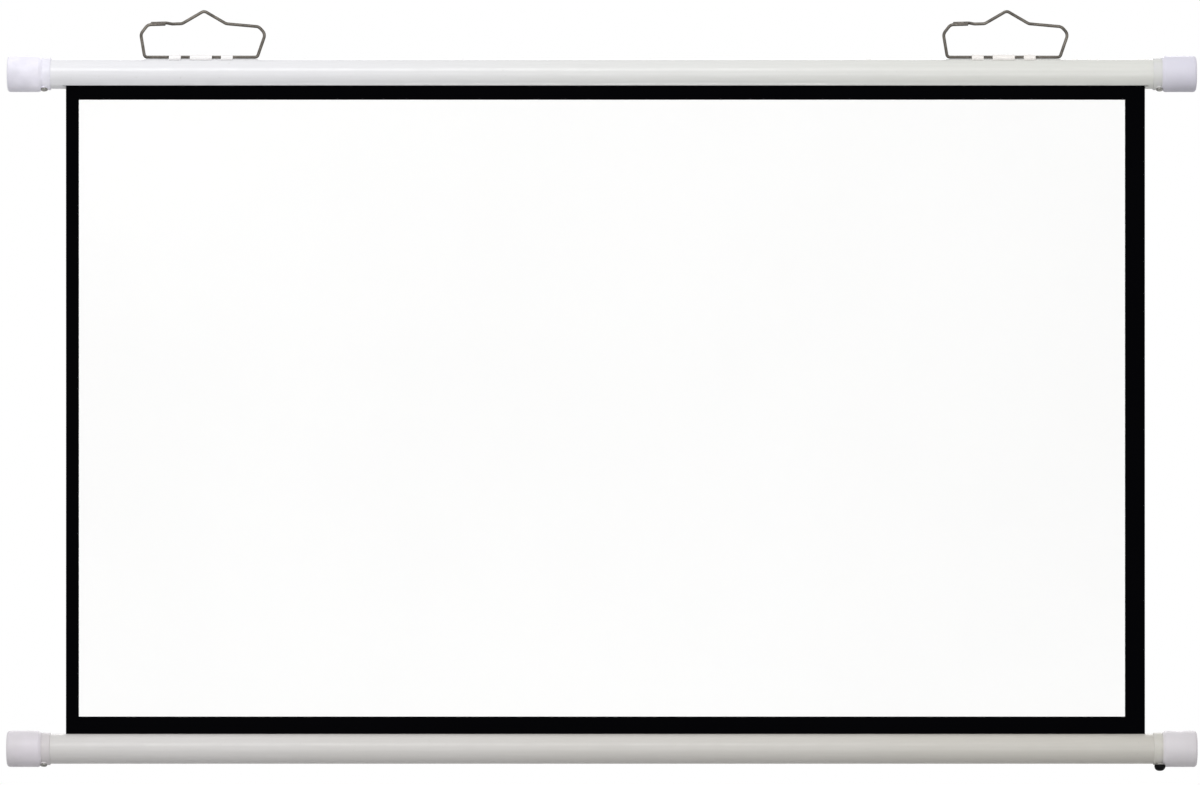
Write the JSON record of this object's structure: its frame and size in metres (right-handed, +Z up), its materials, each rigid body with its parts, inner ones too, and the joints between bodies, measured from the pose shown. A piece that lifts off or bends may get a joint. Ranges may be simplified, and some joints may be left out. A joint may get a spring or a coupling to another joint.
{
  "type": "pull down projector screen",
  "caption": "Wall-hung spring-roller projection screen: white tubular case, white cloth with black border, capped bottom bar and wire hangers.",
  "frame": {"origin": "midway between the two points where the crowns of the wire hangers rest on their hooks, which are 1020 mm apart along X; the middle of the cloth's width is at X = 0 too", "axes": "+X to the right as seen by the audience, +Y towards the wall behind the screen, +Z up; the picture faces -Y"},
  "size_m": [1.51, 0.056, 0.9663],
  "materials": {
    "tube_white": "satin white paint",
    "cap_white": "satin moulded plastic",
    "clip_white": "satin white paint",
    "wire_steel": "dull drawn wire",
    "screw_grey": "zinc plated",
    "inner_steel": "plain",
    "roller_metal": "mill finish",
    "cloth_white": "matt white screen cloth",
    "cloth_black": "matt black border of the cloth",
    "rubber_black": "moulded rubber"
  },
  "bodies": {
    "case": {"case_tube": "tube_white", "case_cap_left": "cap_white", "case_cap_right": "cap_white", "case_screw_left": "screw_grey", "case_screw_right": "screw_grey", "clip_left_outer": "clip_white", "clip_left_centre": "clip_white", "clip_left_inner": "clip_white", "clip_right_outer": "clip_white", "clip_right_centre": "clip_white", "clip_right_inner": "clip_white", "roller_spear": "inner_steel", "spring_anchor": "inner_steel", "idler_pin": "inner_steel", "projection_sheet": "cloth_white", "border_top": "cloth_black", "border_left": "cloth_black", "border_right": "cloth_black"},
    "roller": {"roller_tube": "roller_metal", "roller_plug_left": "cap_white", "roller_plug_right": "cap_white", "torsion_spring": "inner_steel", "cloth_reserve": "cloth_black"},
    "hanger_left": {"hanger_left": "wire_steel"},
    "hanger_right": {"hanger_right": "wire_steel"},
    "bottom_bar": {"border_bottom": "cloth_black", "hem_loop": "cloth_black", "hem_rod": "inner_steel", "bar_tube": "tube_white", "bar_cap_left": "cap_white", "bar_cap_right": "cap_white", "bar_screw_left": "screw_grey", "bar_bumper_right": "rubber_black"}
  },
  "joints": [
    {"name": "screen_travel", "type": "slide", "parent": "case", "child": "bottom_bar", "axis": [0, 0, 1], "range_m": [0, 0.81], "deforming": ["projection_sheet", "border_top", "border_left", "border_right"]},
    {"name": "roller_spin", "type": "hinge", "parent": "case", "child": "roller", "pos_m": [0, 0, -0.07716], "axis": [1, 0, 0], "range_deg": [-3830, 0]},
    {"name": "hanger_left_fold", "type": "hinge", "parent": "case", "child": "hanger_left", "pos_m": [-0.51, 0, -0.05586], "axis": [1, 0, 0], "range_deg": [-90, 90]},
    {"name": "hanger_right_fold", "type": "hinge", "parent": "case", "child": "hanger_right", "pos_m": [0.51, 0, -0.05586], "axis": [1, 0, 0], "range_deg": [-90, 90]}
  ],
  "couplings": [
    {"joint": "roller_spin", "follows": "screen_travel", "rad_per_m": -82.5}
  ]
}
